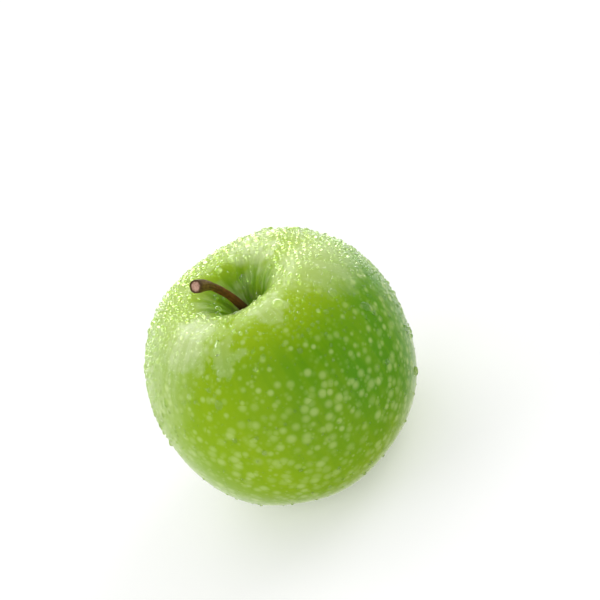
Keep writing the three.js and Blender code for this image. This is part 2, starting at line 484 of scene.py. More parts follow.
def swell(fruit, point):
    """The lobes, ridges and slight unevenness that make the turned shape a grown one."""
    x, y, z = point
    r, around = math.hypot(x, y), math.atan2(y, x)
    top = FRUIT_HIGH.z
    floor = top - fruit.cavity_depth
    base, belt = fruit.base_radius, fruit.belt_height
    wave = math.cos(SEPAL_COUNT * (around - fruit.lobe_turn))
    if z < belt:
        strength = mix(LOBE_AT_BASE, LOBE_AT_BELT, smooth(share(z, -FOOT_SINK, belt)))
    else:
        strength = mix(LOBE_AT_BELT, LOBE_AT_CREST, smooth(share(z, belt, top)))
    reach = smooth(share(r, fruit.tube_radius, base))
    low = 1 - smooth(share(z, 0, fruit.basin_depth * 1.5))
    high = smooth(share(z, floor, top))
    hollow = (1 - wave) / 2
    grown = r * (1 + reach * (strength * wave + OVAL * math.cos(2 * (around - OVAL_TURN))))
    z += reach * hollow * (low * FOOT_LIFT - high * CREST_DIP)
    # ridges down the wall of the stem cavity, and puckers round the calyx
    if point.z > belt:
        wall = band(r, *CAVITY_WALL)
        grown += wall * folds(around, *CAVITY_RIDGES)
        z += wall * folds(around, *CAVITY_WAVES)
    elif r < base:
        wall = band(r, *CALYX_WALL)
        z += wall * folds(around, *CALYX_PUCKERS)
    place = Vector((grown * math.cos(around), grown * math.sin(around), z))
    uneven = sum(height * noise.noise(place * often) for height, often in UNEVENNESS)
    outward = Vector((place.x, place.y, (place.z - belt) * 1.1)).normalized()
    place += outward * uneven * reach
    place.z = max(place.z, FRUIT_LOW.z)
    return place


def make_fruit(fruit):
    """The outline is drawn as a chain of edges, spun round the core, and then swollen into lobes."""
    select_none()
    outline = fruit_outline(fruit)
    bpy.ops.mesh.primitive_plane_add(size=MM, location=outline[0])
    piece = started("fruit_skin")
    bpy.ops.mesh.merge(type="CENTER")
    for a, b in zip(outline, outline[1:]):
        bpy.ops.mesh.extrude_region_move(TRANSFORM_OT_translate={"value": b - a})
    bpy.ops.mesh.select_all(action="SELECT")
    bpy.ops.mesh.spin(steps=fruit.around, angle=math.tau, center=(0, 0, 0), axis=(0, 0, 1))
    bpy.ops.mesh.select_all(action="SELECT")
    bpy.ops.mesh.remove_doubles(threshold=0.005 * MM)
    bpy.ops.mesh.normals_make_consistent(inside=False)
    bpy.ops.object.mode_set(mode="OBJECT")
    bpy.ops.object.transform_apply(location=True, rotation=True, scale=True)
    reshape(piece, lambda co: swell(fruit, co) + CORE)
    return piece


# The side left green and darker as painted shade, away from where the light falls: azimuth, elevation.
PAINTED_SHADE_SIDE = (-45, 20)
# Where the painted sheen of reflected light shows: azimuth, elevation, how far it reaches in degrees, and
# how strong it is.
PAINTED_SHEEN = (
    (-145, 53, 16, 1.0),
    (50, 63, 14, 0.8),
    (-166, 36, 28, 0.4),
    (-20, 50, 22, 0.6),
    (-75, 57, 9, 0.5),
    (-118, 47, 9, 0.4),
)


def skin_material(skin):
    """Green skin with clouds, lenticels and russet, and painted light and shade: a yellower lit side, a
    shaded cavity and a painted sheen.
    """
    material, tree, shader = new_material("apple_skin", {
        "Specular IOR Level": 0.22,
        "Coat Roughness": 0.15,
        "Coat IOR": 1.4,
        "Subsurface Weight": 0.1,
        "Subsurface Radius": (0.6, 1.0, 0.1),
        "Subsurface Scale": 1.2 * MM,
    })

    def times(a, b):
        return calculate(tree, "MULTIPLY", a, b)

    def larger(a, b):
        return calculate(tree, "MAXIMUM", a, b)

    place = object_place(tree, CORE)
    at = add_node(tree, "SeparateXYZ", {0: place}).outputs
    height = at[2]
    flat = add_node(tree, "CombineXYZ", {0: at[0], 1: at[1]}).outputs[0]
    radius = add_node(tree, "VectorMath", {0: flat}, operation="LENGTH").outputs["Value"]
    outward = object_place(tree, CORE + Vector((0, 0, FRUIT_HIGH.z / 2)))
    outward = add_node(tree, "VectorMath", {0: outward}, operation="NORMALIZE").outputs[0]

    above = ramp(tree, height, 40 * MM, 50 * MM)
    cavity = times(above, ramp(tree, radius, 15 * MM, 6 * MM))
    deep_cavity = times(above, ramp(tree, radius, 8 * MM, 2 * MM))
    basin = times(ramp(tree, height, 14 * MM, 4 * MM), ramp(tree, radius, 14 * MM, 4 * MM))

    # the ground colour: green, with yellower and deeper clouds, and lines from pole to pole
    clouds = pattern(tree, "Mottle", place, Size=24 * MM, Contrast=0.16)
    small_clouds = pattern(tree, "Mottle", place, Size=6 * MM, Contrast=0.2)
    ground = blend_colors(tree, times(clouds, skin.cloud_strength), skin.green, skin.yellow)
    ground = blend_colors(tree, times(small_clouds, 0.18), ground, skin.deep)

    # painted light: yellower and lighter at the top and away from the side left in painted shade, where the
    # light falls; yellower too towards the base
    painted_shade_facing = dot(tree, outward, heading(*PAINTED_SHADE_SIDE))
    upward = add_node(tree, "SeparateXYZ", {0: outward}).outputs[2]
    painted_light_and_base = larger(ramp(tree, painted_shade_facing, 0.95, 0.25, 0.0, 0.6), ramp(tree, upward, 0.45, 0.85, 0.0, 0.8))
    painted_light_and_base = larger(painted_light_and_base, ramp(tree, height, 26 * MM, 4 * MM, 0.0, 0.85))
    ground = blend_colors(tree, painted_light_and_base, ground, skin.yellow)
    lines = pattern(tree, "Streaks", place, Around=16.0, Along=60.0, Low=0.42, High=0.66)
    ground = blend_colors(tree, times(lines, skin.line_strength), ground, skin.yellow)
    # painted shade: the cavity goes half back to the plain, darker green, out of the painted light
    ground = blend_colors(tree, times(cavity, 0.5), ground, skin.green)

    # painted shade and painted sheen down the wall of the cavity: darker between its streaks and paler
    # along them
    fans = pattern(tree, "Streaks", place, Around=5.0, Along=70.0, Low=0.35, High=0.72)
    between = ramp(tree, fans, 0.8, 0.0)
    ground = blend_colors(tree, times(between, times(cavity, 0.4)), ground, skin.deep)
    fans = times(fans, ramp(tree, small_clouds, 0.2, 0.9))
    ground = blend_colors(tree, times(fans, times(cavity, 0.25)), ground, skin.painted_sheen)

    # lenticels: two crossed layers of larger ones, small near the stem, and one of fine ones
    spacing = skin.spot_spacing
    size = times(ramp(tree, height, 64 * MM, 36 * MM, 0.6, 1.0), skin.spot_radius)
    beside = object_place(tree, CORE + Vector((1.7, 1.7, 1.7)) * spacing)
    large = larger(
        pattern(tree, "Spots", place, Spacing=spacing, Radius=size, Softness=0.75),
        pattern(tree, "Spots", beside, Spacing=spacing, Radius=size, Softness=0.75),
    )
    fine_radius = skin.spot_radius * 0.45
    fine = pattern(tree, "Spots", place, Spacing=spacing * 0.6, Radius=fine_radius, Softness=0.75)
    fine = times(fine, ramp(tree, height, 58 * MM, 20 * MM, 0.3, 0.7))
    pale = times(larger(large, fine), calculate(tree, "SUBTRACT", 1.0, cavity))
    ground = blend_colors(tree, times(pale, skin.spot_strength), ground, skin.spot)

    # russet round the stem and in the basin
    rust = pattern(tree, "Mottle", place, Size=1.3 * MM, Contrast=0.2)
    rust = times(rust, larger(deep_cavity, basin))
    ground = blend_colors(tree, times(rust, skin.rust_strength), ground, skin.rust)

    # painted sheen: whitish patches of reflected light on the wet skin, combed along the skin and ragged at
    # its edges
    ragged = calculate(tree, "SUBTRACT", turbulence(tree, place, 1 / (5 * MM), 4.0), 0.5)
    painted_sheen = 0.0
    for azimuth, elevation, reach, strength in PAINTED_SHEEN:
        near = dot(tree, outward, heading(azimuth, elevation))
        near = calculate(tree, "MULTIPLY_ADD", ragged, 0.07, near)
        edge, full = math.cos(math.radians(reach)), math.cos(math.radians(reach * 0.3))
        painted_sheen = larger(ramp(tree, near, edge, full, 0.0, strength), painted_sheen)
    combed = pattern(tree, "Streaks", place, Around=14.0, Along=50.0, Low=0.35, High=0.62)
    painted_sheen = times(painted_sheen, ramp(tree, combed, 0.0, 1.0, 0.7, 1.0))
    painted_sheen = times(painted_sheen, ramp(tree, cavity, 0.0, 1.0, 1.0, 0.15))
    ground = blend_colors(tree, times(painted_sheen, skin.painted_sheen_strength), ground, skin.painted_sheen)

    # the fine grain of the skin, its raised lenticels, and more gloss on the wet side
    grain = turbulence(tree, place, 1 / (0.9 * MM), 3.0)
    roughness = ramp(tree, grain, 0.3, 0.7, 0.30, 0.40)
    roughness = calculate(tree, "ADD", roughness, times(deep_cavity, 0.25), clamp=True)
    coat = ramp(tree, dot(tree, outward, WET_SIDE), -0.1, 0.6, 0.2, 0.6)
    normal = bump(tree, grain, 0.03 * MM, 0.6)
    normal = bump(tree, pale, 0.05 * MM, 0.35, normal)

    tree.links.new(ground, shader.inputs["Base Color"])
    tree.links.new(roughness, shader.inputs["Roughness"])
    tree.links.new(coat, shader.inputs["Coat Weight"])
    tree.links.new(normal, shader.inputs["Normal"])
    return material


class APPLE_OT_fruit(Operator):
    """Build the fruit: its skin, cavity, lobes and basin"""

    bl_idname = "apple.fruit"
    bl_label = "Fruit"

    def execute(self, context):
        scene = context.scene
        piece = make_fruit(scene.apple_fruit)
        finish_piece(piece, skin_material(scene.apple_skin), ["fruit"])
        return {"FINISHED"}


# ---------------------------------------------------------------- the stem
# The stem's line in millimetres above the cavity floor: it rises straight and then bows over.
STEM_LINE = (
    (0, 0, 0),
    (-0.2, 0, 4),
    (-2.2, -0.2, 12.4),
    (-4.4, -1.6, 18.2),
    (-6.8, -4.9, 23.3),
    (-9.6, -8.4, 26.8),
)
STEM_ROOTED = 3.2 * MM
STEM_STEPS = 110
STEM_AROUND = 56
GRAIN_LENGTH = 14  # of the whole stem, in the grain's own measure, in which the stem is 2 thick


def stem_path():
    """Points a short step apart along the stem's line, each with its line, side and back."""
    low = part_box("stem")[0].z
    knots = []
    for x, y, z in STEM_LINE:
        height = low + z * MM + (STEM_ROOTED if z > 0 else 0)
        knots.append(CORE + Vector((x * MM, y * MM, height)))
    fine = []
    for i in range(len(knots) - 1):
        before, a, b = knots[max(i - 1, 0)], knots[i], knots[i + 1]
        after = knots[min(i + 2, len(knots) - 1)]
        gap = (b - a).length
        lead_in = (b - before).normalized() * gap / 3
        lead_out = (after - a).normalized() * gap / 3
        fine.extend(geometry.interpolate_bezier(a, a + lead_in, b - lead_out, b, 40)[(1 if fine else 0):])
    lengths = np.concatenate([[0], np.cumsum([(q - p).length for p, q in zip(fine, fine[1:])])])
    spots = np.linspace(0, lengths[-1], STEM_STEPS + 1)
    columns = [np.interp(spots, lengths, [p[i] for p in fine]) for i in range(3)]
    points = [Vector(p) for p in zip(*columns)]
    frames = []
    side = Vector((1, 0, 0))
    for i, point in enumerate(points):
        line = (points[min(i + 1, STEM_STEPS)] - points[max(i - 1, 0)]).normalized()
        side = (side - line * side.dot(line)).normalized()
        frames.append((point, line, side, line.cross(side)))
    return frames


def stem_radius(stem, t):
    """The stem's radius, t from 0 at the root to 1 at the flared end."""
    waist = mix(stem.base, stem.neck, smooth(share(t, 0.15, 0.5)))
    return mix(waist, stem.end * 0.96, smooth(share(t, 0.74, 0.965))) / 2


def make_stem(stem):
    """A short cylinder, drawn out step by step, with its end inset, and then bent along its line."""
    select_none()
    bpy.ops.mesh.primitive_cylinder_add(vertices=STEM_AROUND, radius=1, depth=1, location=(0, 0, 0.5))
    piece = started("stem_bark")
    bpy.ops.mesh.select_all(action="DESELECT")
    bpy.ops.object.mode_set(mode="OBJECT")
    for face in piece.data.polygons:
        face.select = face.normal.z > 0.9
    bpy.ops.object.mode_set(mode="EDIT")
    for _ in range(STEM_STEPS - 1):
        bpy.ops.mesh.extrude_region_move(TRANSFORM_OT_translate={"value": (0, 0, 1)})
    for thickness in (0.06, 0.08, 0.08, 0.1, 0.18, 0.2):
        bpy.ops.mesh.inset(thickness=thickness)
    bpy.ops.mesh.poke()
    bpy.ops.object.mode_set(mode="OBJECT")
    bpy.ops.object.transform_apply(location=True, rotation=True, scale=True)

    frames = stem_path()
    for name, kind in (("grain", "FLOAT_VECTOR"), ("cut", "FLOAT")):
        piece.data.attributes.new(name, kind, "POINT")
    grain, cut = piece.data.attributes["grain"].data, piece.data.attributes["cut"].data
    for i, v in enumerate(piece.data.vertices):
        x, y, z = v.co
        step = min(round(z), STEM_STEPS)
        t = step / STEM_STEPS
        point, line, side, back = frames[step]
        around, out = math.atan2(y, x), math.hypot(x, y)
        ring = Vector((math.cos(around), math.sin(around), 0))
        grain[i].vector = (ring.x * out, ring.y * out, t * GRAIN_LENGTH)
        inside = 1 - out if step == STEM_STEPS else 0.0
        ragged = 0.05 * noise.noise(Vector((ring.x * 2.5, ring.y * 2.5, 7)))
        cut[i].value = smooth(share(inside + ragged, 0.24, 0.36))
        # bark: furrows, lumps and two knuckles, and at the broken end a lip and a rough face
        furrow = noise.fractal(Vector((ring.x * 2.6, ring.y * 2.6, t * 6)), 1.0, 2.0, 3)
        knuckle = 0.5 * hump(t, 0.8, 0.025) * max(ring.x, 0) + 0.3 * hump(t, 0.62, 0.02)
        lumpy = noise.noise(Vector((ring.x * 1.2, ring.y * 1.2, t * 9)))
        radius = stem_radius(stem, t) * (1 + 0.07 * furrow + 0.05 * lumpy + 0.14 * knuckle)
        lip = 0.16 * MM * smooth(share(inside, 0.0, 0.3)) - 0.1 * MM * smooth(share(inside, 0.45, 1.0))
        rough = 0.09 * MM * noise.noise(Vector((x * 3, y * 3, 4))) if inside > 0.05 else 0.0
        v.co = point + (side * ring.x + back * ring.y) * radius * out + line * (rough - lip)
    piece.data.update()
    return piece


def bark_material(stem):
    """Furrowed bark, red along the middle and olive at the flare, with pale pithy wood where it broke."""
    material, tree, shader = new_material("stem_bark", {"Specular IOR Level": 0.4, "Coat Roughness": 0.3})
    grain = add_node(tree, "Attribute", attribute_name="grain").outputs["Vector"]
    cut = add_node(tree, "Attribute", attribute_name="cut").outputs["Fac"]
    along = add_node(tree, "SeparateXYZ", {0: grain}).outputs[2]
    place = object_place(tree)
    furrows = pattern(tree, "Fibres", grain, Across=7.0, Along=0.9)
    patches = pattern(tree, "Mottle", place, Size=1.6 * MM, Contrast=0.15)
    pores = pattern(tree, "Mottle", place, Size=0.5 * MM, Contrast=0.12)
    bark = blend_colors(tree, ramp(tree, along, 8.6, 12.2), stem.red, stem.olive)
    for darkened in (
        calculate(tree, "MULTIPLY", patches, 0.4),
        ramp(tree, along, 7.0, 3.6),
        ramp(tree, furrows, 0.52, 0.36, 0.0, 0.8),
        ramp(tree, along, 13.3, 13.9, 0.0, 0.6),
    ):
        bark = blend_colors(tree, darkened, bark, stem.dark)
    wood = blend_colors(tree, calculate(tree, "MULTIPLY", pores, 0.7), stem.cut, stem.pith)
    tree.links.new(blend_colors(tree, cut, bark, wood), shader.inputs["Base Color"])
    tree.links.new(ramp(tree, furrows, 0.3, 0.7, 0.75, 0.5), shader.inputs["Roughness"])
    normal = bump(tree, furrows, 0.12 * MM, 0.8)
    tree.links.new(bump(tree, pores, 0.05 * MM, 0.5, normal), shader.inputs["Normal"])
    return material


class APPLE_OT_stem(Operator):
    """Build the stem, with its bark and its broken end"""

    bl_idname = "apple.stem"
    bl_label = "Stem"

    def execute(self, context):
        stem = context.scene.apple_stem
        finish_piece(make_stem(stem), bark_material(stem), ["stem"])
        return {"FINISHED"}


# ---------------------------------------------------------------- the calyx
SEPAL_WIDTH, SEPAL_THICKNESS = 4.1 * MM, 0.28 * MM
THREAD_STEPS = 12


def make_sepal(number):
    """A grid, drawn to a point, wrinkled and curled as a dried leaf is, and given its thickness."""
    name = f"sepal_{number}"
    low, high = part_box(name)
    fruit = bpy.context.scene.apple_fruit
    turn = fruit.lobe_turn + math.tau * (number - 0.5) / SEPAL_COUNT
    out = Vector((math.cos(turn), math.sin(turn), 0))
    side = Vector((-out.y, out.x, 0))
    drop = high.z - low.z
    select_none()
    bpy.ops.mesh.primitive_grid_add(x_subdivisions=20, y_subdivisions=36, size=2)
    piece = started(f"{name}_leaf")
    bpy.ops.object.mode_set(mode="OBJECT")
    start = CORE + out * (fruit.tube_radius - 0.1 * MM) + Vector((0, 0, high.z))

    def leaf(co):
        t, across = (co.y + 1) / 2, co.x
        half = SEPAL_WIDTH / 2 * (0.06 + 0.94 * max(math.sin(math.pi * mix(0.3, 1.0, t)), 0.0) ** 0.8)
        lean = math.radians(mix(16, 40, t * t) + 7 * noise.noise(Vector((number * 7.3, t * 2, 0))))
        crease = noise.noise(Vector((across * 1.6, t * 5, number * 3.1)))
        fold = 0.30 * MM * crease - 0.45 * MM * abs(across) ** 1.6 * mix(1.0, 1.6, t)
        rib = 0.16 * MM * hump(across, 0, 0.13) * (1 - t)
        away = drop * 1.22 * t
        sideways = across * half + 0.35 * MM * t * noise.noise(Vector((t * 3, number * 5.7, 1)))
        outward = math.sin(lean) * away + math.cos(lean) * (fold + rib)
        upward = -math.cos(lean) * away + math.sin(lean) * (fold + rib)
        return start + side * sideways + out * outward + Vector((0, 0, upward))

    reshape(piece, leaf)
    solid = piece.modifiers.new("thickness", "SOLIDIFY")
    solid.thickness, solid.offset = SEPAL_THICKNESS, 0
    edge = piece.modifiers.new("soft_edge", "SUBSURF")
    edge.levels = edge.render_levels = 1
    apply_modifiers(piece)
    return piece


def dried_material(name, ground, pale, roughest, scale):
    """Dried plant matter: two colours in streaks, rough and furrowed."""
    material, tree, shader = new_material(name, {"Specular IOR Level": 0.25, "Sheen Weight": 0.15})
    place = object_place(tree, CORE)
    furrows = pattern(tree, "Fibres", place, Across=1 / scale, Along=0.25 / scale)
    clouds = pattern(tree, "Mottle", place, Size=scale * 3, Contrast=0.18)
    tone = blend_colors(tree, calculate(tree, "MULTIPLY", clouds, 0.6), ground, pale)
    tone = blend_colors(tree, ramp(tree, furrows, 0.5, 0.3, 0.0, 0.7), tone, [c * 0.3 for c in ground])
    tree.links.new(tone, shader.inputs["Base Color"])
    roughness = ramp(tree, furrows, 0.3, 0.7, roughest, roughest - 0.15)
    tree.links.new(roughness, shader.inputs["Roughness"])
    tree.links.new(bump(tree, furrows, 0.1 * MM, 0.9), shader.inputs["Normal"])
    return material


class APPLE_OT_sepals(Operator):
    """Build the dried sepals round the calyx"""

    bl_idname = "apple.sepals"
    bl_label = "Sepals"

    def execute(self, context):
        calyx = context.scene.apple_calyx
        material = dried_material("dried_leaf", calyx.leaf, calyx.down, 0.9, 0.5 * MM)
        for number in range(1, SEPAL_COUNT + 1):
            finish_piece(make_sepal(number), material, [f"sepal_{number}"])
        return {"FINISHED"}


def make_thread(drop, radius):
    """A thin cylinder, drawn out downwards step by step."""
    select_none()
    step = drop / THREAD_STEPS
    bpy.ops.mesh.primitive_cylinder_add(vertices=8, radius=radius, depth=step, location=(0, 0, 0))
    thread = started("thread")
    bpy.ops.object.mode_set(mode="OBJECT")
    for face in thread.data.polygons:
        face.select = face.normal.z < -0.9
    bpy.ops.object.mode_set(mode="EDIT")
    for _ in range(THREAD_STEPS - 1):
        bpy.ops.mesh.extrude_region_move(TRANSFORM_OT_translate={"value": (0, 0, -step)})
    bpy.ops.object.mode_set(mode="OBJECT")
    return thread


def make_tuft(name, node, total, ring, splay, thread_radius, tip_radius, seed):
    """Threads that hang from a disc in the tube's roof, each bent its own way, with a swollen tip."""
    low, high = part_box(node)
    top, drop = high.z, high.z - low.z
    rng = random.Random(seed)
    threads = []
    for i in range(total):
        thread = make_thread(drop, thread_radius)
        around = math.tau * i / total
        out = Vector((math.cos(around), math.sin(around), 0))
        side = Vector((-out.y, out.x, 0))
        start = CORE + out * ring + Vector((0, 0, top - drop / THREAD_STEPS / 2))
        bend, twist = rng.uniform(-0.5, 0.5) * MM, rng.uniform(-0.6, 0.6) * MM

        def hang(co):
            t = share(-co.z, 0, drop)
            thick = mix(1.0, tip_radius / thread_radius, hump(t, 0.9, 0.07))
            place = start + Vector((co.x * thick, co.y * thick, co.z * mix(1.0, 0.96, t)))
            sway = math.sin(math.pi * t)
            return place + out * (splay * t * drop + bend * sway) + side * twist * sway

        reshape(thread, hang)
        threads.append(thread)
    select_none()
    thickness = 1 * MM
    middle = CORE + Vector((0, 0, top - thickness / 2))
    bpy.ops.mesh.primitive_cylinder_add(
        vertices=48, radius=ring + thread_radius, depth=thickness, location=middle,
    )
    disc = started(name)
    bpy.ops.mesh.bevel(offset=0.25 * MM, segments=3)
    bpy.ops.object.mode_set(mode="OBJECT")
    for thread in threads:
        thread.select_set(True)
    bpy.ops.object.join()
    return disc


class APPLE_OT_filaments(Operator):
    """Build the dried stamens and styles inside the calyx"""

    bl_idname = "apple.filaments"
    bl_label = "Filaments"

    def execute(self, context):
        thread = context.scene.apple_calyx.thread
        material = dried_material("dried_thread", thread, [c * 2.2 for c in thread], 0.95, 0.3 * MM)
        stamens = make_tuft("stamen_tuft", "dried_stamens", 12, 2.35 * MM, 0.09, 0.22 * MM, 0.34 * MM, 5)
        finish_piece(stamens, material, ["dried_stamens"])
        styles = make_tuft("style_tuft", "dried_styles", 5, 0.8 * MM, 0.07, 0.2 * MM, 0.3 * MM, 6)
        finish_piece(styles, material, ["dried_styles"])
        return {"FINISHED"}


# ---------------------------------------------------------------- the drops
def drop_shape(segments, rings):
    """One drop of radius and height 1: the top of a ball, cut off level with the skin and closed."""
    select_none()
    bpy.ops.mesh.primitive_uv_sphere_add(segments=segments, ring_count=rings, radius=1)
    piece = started("drop_shape")
    bpy.ops.mesh.bisect(plane_co=(0, 0, -0.12), plane_no=(0, 0, -1), use_fill=True, clear_outer=True)
    bpy.ops.mesh.select_all(action="SELECT")
    bpy.ops.mesh.quads_convert_to_tris()
    bpy.ops.object.mode_set(mode="OBJECT")
    bpy.ops.object.transform_apply(location=True, rotation=True, scale=True)
    mesh = piece.data
    points = np.array([v.co[:] for v in mesh.vertices])
    faces = np.array([p.vertices[:] for p in mesh.polygons])
    bpy.data.objects.remove(piece)
    bpy.data.meshes.remove(mesh)
    return points, faces


FAR = 200 * MM  # from the fruit's middle, and well outside it


class Skin:
    """The finished fruit's surface, for laying drops on."""

    def __init__(self):
        fruit = bpy.data.objects["fruit_skin"]
        self.tree = BVHTree.FromObject(fruit, bpy.context.evaluated_depsgraph_get())
        self.middle = CORE + Vector((0, 0, (FRUIT_LOW.z + FRUIT_HIGH.z) / 2))

    def towards(self, direction):
        """The point and normal where a ray from far outside meets the skin on its way to the middle."""
        far = self.middle + direction.normalized() * FAR
        point, normal, _, _ = self.tree.ray_cast(far, -direction)
        return point, normal


def heading(azimuth, elevation):
    """The direction of an azimuth and an elevation in degrees."""
    a, e = math.radians(azimuth), math.radians(elevation)
    return Vector((math.cos(a) * math.cos(e), math.sin(a) * math.cos(e), math.sin(e)))


def lay_drops(name, shape, places):
    """One mesh of many drops. Each place is (point, normal, radius, height, stretch, turn)."""
    points, faces = shape
    all_points, all_faces = [], []
    for i, (point, normal, radius, tall, stretch, turn) in enumerate(places):
        spin = Matrix.Rotation(turn, 3, "Z")
        stand = normal.to_track_quat("Z", "Y").to_matrix()
        form = np.array(stand @ spin @ Matrix.Diagonal((radius, radius * stretch, tall)))
        all_points.append(points @ form.T + np.array(point))
        all_faces.append(faces + i * len(points))
    mesh = bpy.data.meshes.new(name)
    mesh.from_pydata(np.concatenate(all_points).tolist(), [], np.concatenate(all_faces).tolist())
    mesh.update()
    piece = bpy.data.objects.new(name, mesh)
    bpy.context.scene.collection.objects.link(piece)
    return piece


DROP_CELL = 4 * MM  # drops are kept in cubes of this size, so that a new one is compared with few others
DRY_BELOW = 6 * MM  # no spray fell this near the plane that the apple stands on
CAVITY_REACH = 13 * MM
CAVITY_SHELTER = 0.92  # the share of the spray that the cavity escapes
DROP_GROWTH = (0.85, 1.4)  # how much larger than drawn a drop is, away from the wet side and on it
DROP_GAP = 1.08  # how far apart two drops' middles are, as a share of their radii together
TRIES_FOR_EACH = 60


def cell_of(point):
    """The cube that the point lies in."""
    return tuple(int(c // DROP_CELL) for c in point)


def neighbours(taken, point):
    """The drops in the point's cell and in the 26 around it, as (place, radius)."""
    x, y, z = cell_of(point)
    for cell in itertools.product((x - 1, x, x + 1), (y - 1, y, y + 1), (z - 1, z, z + 1)):
        yield from taken.get(cell, ())


def scatter(skin, rng, total, radius_of, taken, wetness):
    """Random places for drops, apart from each other and from those already taken."""
    places, tries = [], 0
    while len(places) < total and tries < total * TRIES_FOR_EACH:
        tries += 1
        direction = Vector((rng.gauss(0, 1), rng.gauss(0, 1), rng.gauss(0, 1))).normalized()
        if rng.random() > wetness(direction):
            continue
        point, normal = skin.towards(direction)
        if point is None or point.z < DRY_BELOW:
            continue
        in_cavity = point.z > FRUIT_HIGH.z / 2 and (point - CORE).xy.length < CAVITY_REACH
        if in_cavity and rng.random() < CAVITY_SHELTER:
            continue
        wetter = smooth(share(direction.dot(WET_SIDE), 0.1, 0.85))
        radius = radius_of(rng) * mix(*DROP_GROWTH, wetter)
        near = neighbours(taken, point)
        if any((point - spot).length < (radius + other) * DROP_GAP for spot, other in near):
            continue
        taken.setdefault(cell_of(point), []).append((point, radius))
        tall = radius * rng.uniform(0.6, 0.85)
        places.append((point, normal, radius, tall, rng.uniform(0.85, 1.15), rng.uniform(0, math.tau)))
    return places


def sprayed(least, low, high):
    """How likely a drop stays where it falls: least away from the wet side, and certain towards it."""
    def chance(direction):
        return least + (1 - least) * smooth(share(direction.dot(WET_SIDE), low, high))

    return chance


def radii(smallest, largest, power):
    """Random radii, most of them near the smallest."""
    return lambda rng: mix(smallest, largest, rng.random() ** power) * MM


# The larger drops: azimuth and elevation from the fruit's middle, radius in millimetres, and stretch.
LARGE_DROPS = (
    (-69, 56, 1.75, 1.1), (-42, 41, 1.5, 1.0), (-36, 26, 1.3, 1.5), (-120, 50, 1.2, 2.0),
    (-113, 44, 0.95, 1.0), (-120, 40, 0.9, 1.1), (-116, 37, 0.75, 1.0), (-124, 28, 1.2, 1.2),
    (-157, 27, 1.0, 1.5), (-25, -21, 1.4, 1.2), (170, 30, 1.2, 1.2), (36, 46, 1.5, 1.2),
)


def water_material():
    """Nearly clear water, with a little painted light in its tint. Lamps shine through it to the skin, as
    if it cast no shadow.
    """
    material, tree, shader = new_material("water", {
        # the pale yellow-green tint of the small diffuse share is painted light, for the glow that the
        # drops focus onto the skin
        "Base Color": (0.95, 1.0, 0.8, 1.0),
        "Roughness": 0.01,
        "IOR": 1.36,
        "Specular IOR Level": 0.9,
        "Transmission Weight": 0.96,
    })
    clear = add_node(tree, "BsdfTransparent").outputs[0]
    shadow = add_node(tree, "LightPath").outputs["Is Shadow Ray"]
    both = add_node(tree, "MixShader", {0: shadow, 1: shader.outputs[0], 2: clear}).outputs[0]
    tree.links.new(both, tree.nodes["Material Output"].inputs["Surface"])
    return material


class APPLE_OT_drops(Operator):
    """Lay drops of water on the skin, from mist to large beads"""

    bl_idname = "apple.drops"
    bl_label = "Drops"

    def execute(self, context):
        drops = context.scene.apple_drops
        skin, material = Skin(), water_material()
        rng = random.Random(drops.seed)
        taken = {}
        large = []
        for azimuth, elevation, radius, stretch in LARGE_DROPS:
            point, normal = skin.towards(heading(azimuth, elevation))
            radius *= MM
            taken.setdefault(cell_of(point), []).append((point, radius * max(stretch, 1)))
            large.append((point, normal, radius, radius * 0.55, stretch, rng.uniform(-0.3, 0.3)))
        middling = scatter(skin, rng, drops.middling, radii(0.42, 1.0, 2), taken, sprayed(0.02, -0.35, 0.5))
        fine = scatter(skin, rng, drops.fine, radii(0.2, 0.42, 1.5), taken, sprayed(0.03, -0.4, 0.6))
        water = bpy.data.collections.new("water")
        for name, shape, places in (
            ("large_drops", drop_shape(32, 20), large),
            ("middling_drops", drop_shape(12, 6), middling),
            ("fine_drops", drop_shape(8, 5), fine),
        ):
            water.objects.link(finish_piece(lay_drops(name, shape, places), material))
        return {"FINISHED"}


# ---------------------------------------------------------------- the stage
LAMP_AIM = 30 * MM  # the height that every lamp points at


def area_light(
    name, direction, distance, size, power, diffuse=True, glossy=True, through=False, only_on=None,
):
    """A square softbox that faces the apple. It can be kept out of diffuse light, of gloss and of what
    shows through the drops, and it can light one collection alone."""
    data = bpy.data.lights.new(name, "AREA")
    data.energy, data.size = power, size
    lamp = bpy.data.objects.new(name, data)
    bpy.context.scene.collection.objects.link(lamp)
    direction = Vector(direction).normalized()
    lamp.location = Vector((0, 0, LAMP_AIM)) + direction * distance
    lamp.rotation_euler = direction.to_track_quat("Z", "Y").to_euler()
    lamp.light_linking.receiver_collection = only_on
    lamp.visible_diffuse, lamp.visible_glossy, lamp.visible_transmission = diffuse, glossy, through


def make_lamps():
    """Most lamps light the skin and show no image of themselves. The sheen and the gleams show it alone."""
    area_light("softbox", (-0.15, 0.62, 0.77), 0.9, 0.6, power=1.1, glossy=False, through=True)
    area_light("left_panel", (-0.9, 0.1, 0.45), 1.0, 0.6, power=1.7, glossy=False)
    area_light("right_panel", (0.8, 0.25, 0.55), 1.0, 0.6, power=3, glossy=False)
    area_light("front_panel", (-0.15, -0.85, 0.5), 1.2, 1.2, power=3.4, glossy=False)
    area_light("front_fill", (-0.5, -0.85, 0.25), 1.0, 0.4, power=1.0, glossy=False)
    area_light("sheen", (-0.1, 0.66, 0.74), 0.9, 0.5, power=2.2, diffuse=False)
    on_water = {"diffuse": False, "through": True, "only_on": bpy.data.collections["water"]}
    area_light("gleam", (-0.35, 0.45, 0.82), 0.8, 0.3, power=4, **on_water)
    area_light("back_gleam", (0.2, 0.95, 0.25), 0.8, 0.5, power=5, **on_water)


